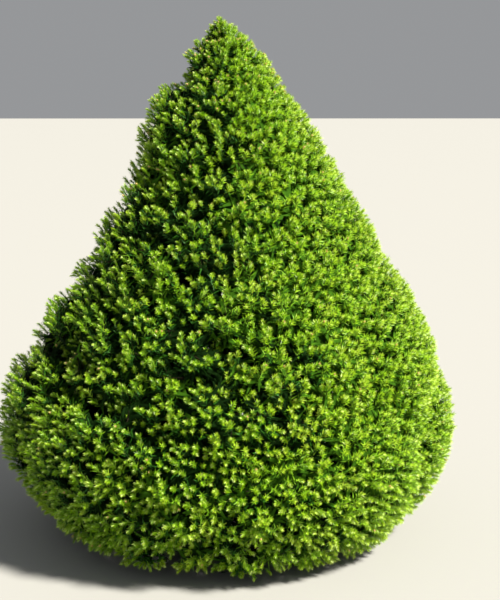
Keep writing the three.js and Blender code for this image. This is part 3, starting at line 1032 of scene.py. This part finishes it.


# A needle's tone: mostly from its spray and shoot, a little its own, and paler towards the shoot's tip.
# Painted shade darkens the shady side, the sunny side takes deeper tones to hold back its light, and painted
# glints are single pale needles near the tips.
def dealTones(chosen):
    rule = toneRule
    n = newNeedles["perShoot"]
    turn, sunny = tufts["turn"][chosen], tufts["sunny"][chosen]
    draw = rule["bySpray"] * seeded(tufts["spray"][chosen], 51) + rule["byShoot"] * seeded(chosen, 52)
    draw = draw * (1 - rule["sunnyCalm"] * sunny)
    # painted shade: darker on the shady side, and deeper in the sun to hold back its light
    draw = draw + rule["byShade"] * np.cos(turn - math.radians(tuftRule["shadeTurn"])) + rule["bySun"] * sunny
    key = chosen[:, None] * 23.0 + np.arange(n)
    draw = draw[:, None] + rule["byNeedle"] * seeded(key, 54) - rule["alongShoot"] * np.arange(n) / n
    rank = np.argsort(np.argsort(draw.ravel())) / draw.size
    limits = np.cumsum([share for _, _, share in newTones])
    tones = np.minimum(np.searchsorted(limits, rank), len(newTones) - 1)
    # painted highlights: glint needles near the tips, fewer on the sunny side
    chance = rule["glintShare"] * (rule["glintMost"] - rule["glintSunnyLoss"] * sunny)
    glint = (seeded(key, 57) < chance[:, None]) & (np.arange(n) > rule["glintStart"] * n)
    return np.where(glint.ravel(), 0, tones)


# Painted shade: twigs on the shady side give their older and inner needles the dark tone, and those in the
# sun keep the green one.
def paintedShadeMask(chosen):
    draw = seeded(tufts["key"][chosen], 55) + seeded(tufts["spray"][chosen], 56)
    shady, sunny = tufts["shady"][chosen], tufts["sunny"][chosen]
    return draw > toneRule["shadeToneLimit"] - toneRule["olderShade"] * shady + toneRule["olderSun"] * sunny


def makeFoliage():
    for tier, name in enumerate(tierNames):
        slot, replaced = tierSlots[name], nodesOf("foliage", name)
        chosen = np.flatnonzero(shoots["tier"] == tier)
        needles, tones = growNewNeedles(chosen), dealTones(chosen)
        for tone, (toneName, _, _) in enumerate(newTones):
            new = needles[tones == tone]
            bladePiece(f"new_needles_{toneName}_{name}", new, newFinishes[tone], slot, replaced)
        chosen = np.flatnonzero(tufts["tier"] == tier)
        # painted shade: each twig's older and inner needles take the lit or the shaded tone
        tones = paintedShadeMask(chosen)
        for tone, (toneName, _) in enumerate(olderTones):
            older = growOlderNeedles(chosen[tones == tone])
            bladePiece(f"older_needles_{toneName}_{name}", older, olderFinishes[tone], slot, replaced)
        for tone, (toneName, _) in enumerate(innerTones):
            inner = growInnerNeedles(chosen[tones == tone])
            # the wood needles go with the dark tone of painted shade
            if toneName == "dark":
                inner = np.concatenate([inner, growWoodNeedles(name)])
            inner = skipShallow(inner)
            bladePiece(f"inner_needles_{toneName}_{name}", inner, innerFinishes[tone], slot, replaced)
    print("needles grown")


makeFoliage()


# Bark: grey-brown plates with dark furrows, on the trunk and boughs.
barkLook = {
    "grainScale": 3,
    "grainDetail": 6,
    "furrowWidth": 0.12,
    "plateWear": 0.7,
    "grainWear": 0.4,
    "plateHeight": 0.6,
    "grainHeight": 0.5,
    "bump": 0.5,
    "bumpDepth": 0.003,
    "roughness": 0.95,
    "grainShine": 0.2,
    "plateLength": 0.4,  # in the mesh: below 1 the plates are taller than wide
    "furrowSlope": 2.4,
    "grainDepth": 0.3,
}


def barkFinish(name, light, dark, scale):
    look = barkLook
    finish = Finish(name)
    place = finish.node("ShaderNodeTexCoord", {}, {}, "Object")
    plates = finish.node("ShaderNodeTexVoronoi", {"feature": "DISTANCE_TO_EDGE"},
                         {"Vector": place, "Scale": scale})
    grain = finish.node("ShaderNodeTexNoise", {},
                        {"Vector": place, "Scale": scale * look["grainScale"], "Detail": look["grainDetail"]})
    furrow = finish.node("ShaderNodeMapRange", {}, {"Value": plates, "From Max": look["furrowWidth"]})
    worn = furrow * look["plateWear"] + grain * look["grainWear"]
    colour = finish.node("ShaderNodeMix", {"data_type": "RGBA"}, {0: worn, 6: (*dark, 1), 7: (*light, 1)}, 2)
    height = furrow * look["plateHeight"] + grain * look["grainHeight"]
    bump = finish.node("ShaderNodeBump", {},
                       {"Strength": look["bump"], "Distance": look["bumpDepth"], "Height": height})
    roughness = look["roughness"] - grain * look["grainShine"]
    return finish.surface(Base_Color=colour, Roughness=roughness, Normal=bump)


# Depth of the bark's relief at a point, from plates with furrows between them.
def barkRelief(point, scale):
    stretched = Vector((point[0] * scale, point[1] * scale, point[2] * scale * barkLook["plateLength"]))
    near, far = noise.voronoi(stretched)[0][:2]
    plate = min((far - near) * barkLook["furrowSlope"], 1) - 1
    return plate + barkLook["grainDepth"] * noise.noise(stretched * barkLook["grainScale"])


barkMaterial = barkFinish("bark", (0.26, 0.19, 0.14), (0.05, 0.035, 0.025), 60)
youngBarkMaterial = barkFinish("young bark", (0.16, 0.11, 0.07), (0.05, 0.032, 0.02), 110)
twigMaterial = plainFinish("twig bark", (0.018, 0.014, 0.007))
shootMaterial = plainFinish("green shoot", (0.22, 0.3, 0.05))


trunk = {
    "top": 1.68,
    "baseRadius": 0.046,
    "tipRadius": 0.008,
    "taperPower": 0.9,
    "flare": 0.027,
    "flareHeight": 0.048,
    "flareLobes": 5,
    "lobeDepth": 0.45,
    "lobeTurn": 0.8,
    "ridges": 3,
    "ridgeDepth": 0.035,
    "ridgeTwist": 0.21,
    "rings": 180,
    "ringCrowding": 1.15,  # above 1 the rings stand closer towards the foot
    "sides": 48,
    "plateScale": 70,
    "plateDepth": 0.0022,
    "plateRadius": 0.03,  # where the trunk is thinner than this, its plates are less deep
    "leastPlates": 0.15,
}


def trunkRadius(z, turn):
    taper = np.maximum(1 - z / trunk["top"], 0) ** trunk["taperPower"]
    plain = trunk["tipRadius"] + (trunk["baseRadius"] - trunk["tipRadius"]) * taper
    roots = 1 + trunk["lobeDepth"] * np.cos(trunk["flareLobes"] * turn + trunk["lobeTurn"])
    ridged = plain * (1 + trunk["ridgeDepth"] * np.cos(trunk["ridges"] * turn + z / trunk["ridgeTwist"]))
    return ridged + trunk["flare"] * np.exp(-z / trunk["flareHeight"]) * roots


def makeTrunk():
    z = np.linspace(0, 1, trunk["rings"]) ** trunk["ringCrowding"] * trunk["top"]
    turn = 2 * math.pi * np.arange(trunk["sides"]) / trunk["sides"]
    level, around = np.meshgrid(z, turn, indexing="ij")
    radius = trunkRadius(level, around)
    plain = (middleAt(level) + radius[..., None] * outwards(around)).reshape(-1, 3)
    relief = np.array([barkRelief(point, trunk["plateScale"]) for point in plain]).reshape(radius.shape)
    relief = trunk["plateDepth"] * relief
    radius = radius + relief * np.clip(radius / trunk["plateRadius"], trunk["leastPlates"], 1)
    points = middleAt(level) + radius[..., None] * outwards(around)
    faces = tubeFaces(trunk["rings"], trunk["sides"])
    addPiece("trunk_bark", points.reshape(-1, 3), faces, barkMaterial, "bark", ["trunk"], smooth=True)
    print("trunk made")


makeTrunk()


boughRule = {
    "endInset": 0.03,
    "endDrop": 0.3,
    "bend": 0.45,
    "leastRadius": 0.006,
    "gain": 0.012,
    "taper": 0.68,
    "rise": 0.5,
    "points": 26,
    "sides": 14,
    "stemPoints": 10,  # of the stem that a bough goes on into
    "stemTaper": 0.62,
    "leaderOverlap": 0.004,  # the leader starts this far inside the trunk's tip
    "leaderTaper": 0.6,
    "plateScale": 90,
    "plateDepth": 0.0012,
}


# A bough leaves the trunk low, curves up and ends inside the hollow, pointing at its mass's hub.
def boughLine(mass):
    level = mass["centre"][2]
    endRadius = float(hollowRadius(level)) - boughRule["endInset"]
    end = middleAt(level - boughRule["endDrop"] * endRadius) + mass["way"] * endRadius
    start = middleAt(end[2] - boughRule["rise"] * endRadius + mass["stagger"])
    bend = end - unit(mass["hub"] - end) * boughRule["bend"] * endRadius
    t = np.linspace(0, 1, boughRule["points"])[:, None]
    return (1 - t) ** 2 * start + 2 * t * (1 - t) * bend + t ** 2 * end


def boughRadius(mass):
    wide = float(outlineRadius(mass["centre"][2]))
    return boughRule["leastRadius"] + boughRule["gain"] * wide / crown["spread"]


# The middle line and the radii of a bough, which goes on into its mass as the stem of its main twigs.
def boughAndStem(mass):
    rule = boughRule
    if mass["tier"] == "tip":
        levels = np.linspace(trunk["top"] - rule["leaderOverlap"], massRule["leaderHub"], rule["points"])
        return middleAt(levels), np.linspace(1, rule["leaderTaper"], rule["points"]) * trunk["tipRadius"]
    line = boughLine(mass)
    t = np.linspace(0, 1, rule["stemPoints"])[1:, None]
    line = np.concatenate([line, line[-1] + (mass["hub"] - line[-1]) * t])
    stem = rule["taper"] * np.linspace(1, rule["stemTaper"], rule["stemPoints"])[1:]
    return line, boughRadius(mass) * np.concatenate([np.linspace(1, rule["taper"], rule["points"]), stem])


def roughened(points, middles):
    out = []
    for point, middle in zip(points, middles):
        way = (point - middle) / np.linalg.norm(point - middle)
        out.append(point + way * boughRule["plateDepth"] * barkRelief(point, boughRule["plateScale"]))
    return np.array(out)


def makeBoughs():
    for tier in tierNames:
        lines, radii = (np.array(values) for values in zip(*map(boughAndStem, massesOf(tier))))
        points, faces = tubes(lines, radii, boughRule["sides"])
        points = roughened(points, np.repeat(lines.reshape(-1, 3), boughRule["sides"], axis=0))
        replaced = nodesOf("foliage" if tier == "tip" else "bough", tier)
        addPiece(f"boughs_{tier}", points, faces, youngBarkMaterial, "young_bark", replaced, smooth=True)
    print("boughs made")


makeBoughs()


twigRule = {
    "mainRadius": 0.0058,
    "mainTaper": 0.6,
    "mainPoints": 6,
    "mainSides": 6,
    "sag": 0.03,
    "sprayRadius": 0.0024,
    "sprayShape": [1.2, 1, 0.6],
    "spraySides": 5,
    "tuftRadius": 0.0016,
    "tuftShape": [1.3, 1, 0.8],
    "tuftSides": 3,
}


def mainTwigs(mass):
    rule = twigRule
    hub, ends = mass["hub"][None, None], mains[mass["key"]][:, None]
    t = np.linspace(0, 1, rule["mainPoints"])[None, :, None]
    sag = rule["sag"] * upwards * (4 * t * (1 - t)) * np.linalg.norm(ends - hub, axis=-1)[..., None]
    shape = np.linspace(1, rule["mainTaper"], rule["mainPoints"])
    return taperedTubes(hub * (1 - t) + ends * t - sag, rule["mainRadius"], shape, rule["mainSides"])


# The green stem inside each new shoot: three sides that meet at its tip.
def shootStems(chosen):
    points, _ = alongShoots(chosen, np.array([[0, shootRule["stemShare"]]]))
    turn = 2 * math.pi * np.arange(3) / 3
    ring = points[:, :1] + shootRule["radius"] * squareAt(shoots["way"][chosen][:, None], turn)
    points = np.concatenate([ring, points[:, 1:]], axis=1)
    faces = np.arange(len(chosen))[:, None, None] * 4 + np.array([[0, 1, 3], [1, 2, 3], [2, 0, 3]])
    return points.reshape(-1, 3), faces.reshape(-1, 3)


# Main twigs, the twig of each spray and the twig of each tuft, one piece for each tier.
def makeTwigs():
    rule = twigRule
    for tier, name in enumerate(tierNames):
        parts = [mainTwigs(mass) for mass in massesOf(name)]
        chosen = spraysOf(name)
        starts, collars = twigStarts[chosen], twigCollars[chosen]
        lines = np.stack([starts, (starts + collars) / 2, collars], axis=1)
        parts.append(taperedTubes(lines, rule["sprayRadius"], rule["sprayShape"], rule["spraySides"]))
        lines = tuftLines[tufts["tier"] == tier]
        parts.append(taperedTubes(lines, rule["tuftRadius"], rule["tuftShape"], rule["tuftSides"]))
        replaced = nodesOf("foliage", name)
        addPiece(f"twigs_{name}", *joined(parts), twigMaterial, "young_bark", replaced)
        chosen = np.flatnonzero(shoots["tier"] == tier)
        addPiece(f"shoots_{name}", *shootStems(chosen), shootMaterial, tierSlots[name], replaced)
    print("twigs made")


makeTwigs()


# Papery scales that some new shoots still carry at their tips, more of them near the top.
budScales = {
    "share": 0.03,
    "topShare": 0.2,
    "topLevel": 1.6,
    "length": 0.009,
    "width": 0.0064,
    "places": [0, 0.5, 1],
    "shape": [0.7, 1.0, 0.15],
    "sides": 5,
    "colour": (0.62, 0.36, 0.18),
}


def makeBudScales():
    rule = budScales
    chance = rule["share"] + (rule["topShare"] - rule["share"]) * (shoots["z"] > rule["topLevel"])
    chosen = np.flatnonzero(seeded(shoots["key"], 81) < chance)
    tips, axis = alongShoots(chosen, np.array([[1.0]]))
    lines = tips + axis * np.array(rule["places"])[None, :, None] * rule["length"]
    points, faces = taperedTubes(lines, rule["width"] / 2, rule["shape"], rule["sides"])
    addPiece("bud_scales", points, faces, plainFinish("bud scale", rule["colour"]), "young_bark", [])
    print("bud scales made:", len(chosen))


makeBudScales()


# Studio: a pale floor, a soft key light from the right, a weak fill and a pale surround.
studio = {
    "floorSize": 400,
    "floorColour": (0.37, 0.37, 0.36),
    "floorRoughness": 0.8,
    "surround": (0.95, 0.97, 1.0),
    "surroundStrength": 0.32,
    "sunStrength": 9.2,
    "sunAngle": 9,
    "sunElevation": 49,
    "sunTurn": 57,  # degrees to the right of the camera
    "sunColour": (1.0, 0.95, 0.84),
}


def makeStudio():
    half = studio["floorSize"] / 2
    corners = np.array([[-half, -half, 0], [half, -half, 0], [half, half, 0], [-half, half, 0]])
    floor = bpy.data.objects.new("floor", meshFrom("floor", corners, np.array([[0, 1, 2, 3]])))
    scene.collection.objects.link(floor)
    finish = Finish("floor")
    finish.surface(Base_Color=(*studio["floorColour"], 1), Roughness=studio["floorRoughness"])
    floor.data.materials.append(finish.material)
    world = bpy.data.worlds.new("surround")
    world.use_nodes = True
    background = world.node_tree.nodes["Background"]
    background.inputs["Color"].default_value = (*studio["surround"], 1)
    background.inputs["Strength"].default_value = studio["surroundStrength"]
    scene.world = world
    light = bpy.data.lights.new("key", "SUN")
    light.energy = studio["sunStrength"]
    light.angle = math.radians(studio["sunAngle"])
    light.color = studio["sunColour"]
    key = bpy.data.objects.new("key", light)
    scene.collection.objects.link(key)
    turn, rise = math.radians(studio["sunTurn"]), math.radians(studio["sunElevation"])
    towards = Vector((math.sin(turn) * math.cos(rise), -math.cos(turn) * math.cos(rise), math.sin(rise)))
    key.rotation_euler = towards.to_track_quat("Z", "Y").to_euler()
    scene.view_settings.view_transform = "Standard"


makeStudio()
